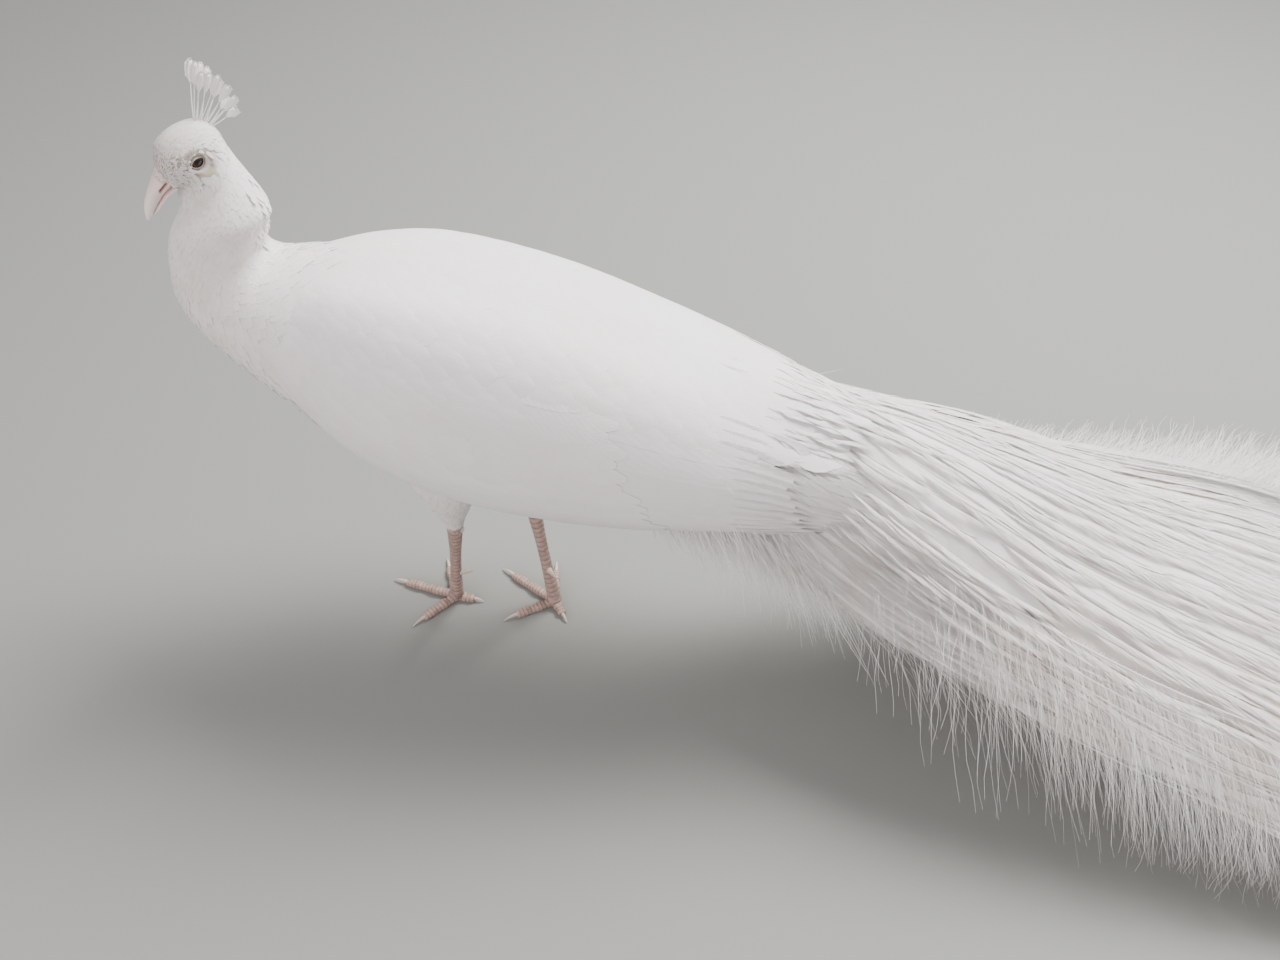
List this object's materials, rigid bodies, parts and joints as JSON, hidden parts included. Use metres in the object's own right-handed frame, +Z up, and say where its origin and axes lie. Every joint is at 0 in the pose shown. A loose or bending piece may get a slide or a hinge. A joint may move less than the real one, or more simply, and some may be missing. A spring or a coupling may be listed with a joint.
{
  "type": "white peafowl figure",
  "caption": "Life-size still museum model of a white male peafowl standing with its long train lowered behind it, for display.",
  "frame": {"origin": "on the ground, at the middle of the whole length from the front of the neck to the end of the train, in the bird's middle plane", "axes": "+Z up, +X from the bird towards the end of its train, so that the bird faces -X and its left side faces -Y"},
  "size_m": [1.7996, 0.5089, 0.6784],
  "materials": {
    "plumage": "white feathers, soft sheen",
    "bare_face": "short white feathers and bare whitish skin",
    "horn": "pale pink horn",
    "leg_scale": "pinkish grey-brown scutes",
    "eye": "wet dark brown"
  },
  "bodies": {
    "root": {"torso": "plumage", "neck": "plumage", "head": "bare_face", "eye_left": "eye", "eye_right": "eye", "bill_upper": "horn", "bill_lower": "horn", "crest": "plumage", "wing_left": "plumage", "wing_right": "plumage", "train": "plumage", "tail": "plumage", "leg_left": "plumage", "leg_right": "plumage", "foot_left": "leg_scale", "foot_right": "leg_scale"}
  },
  "joints": []
}
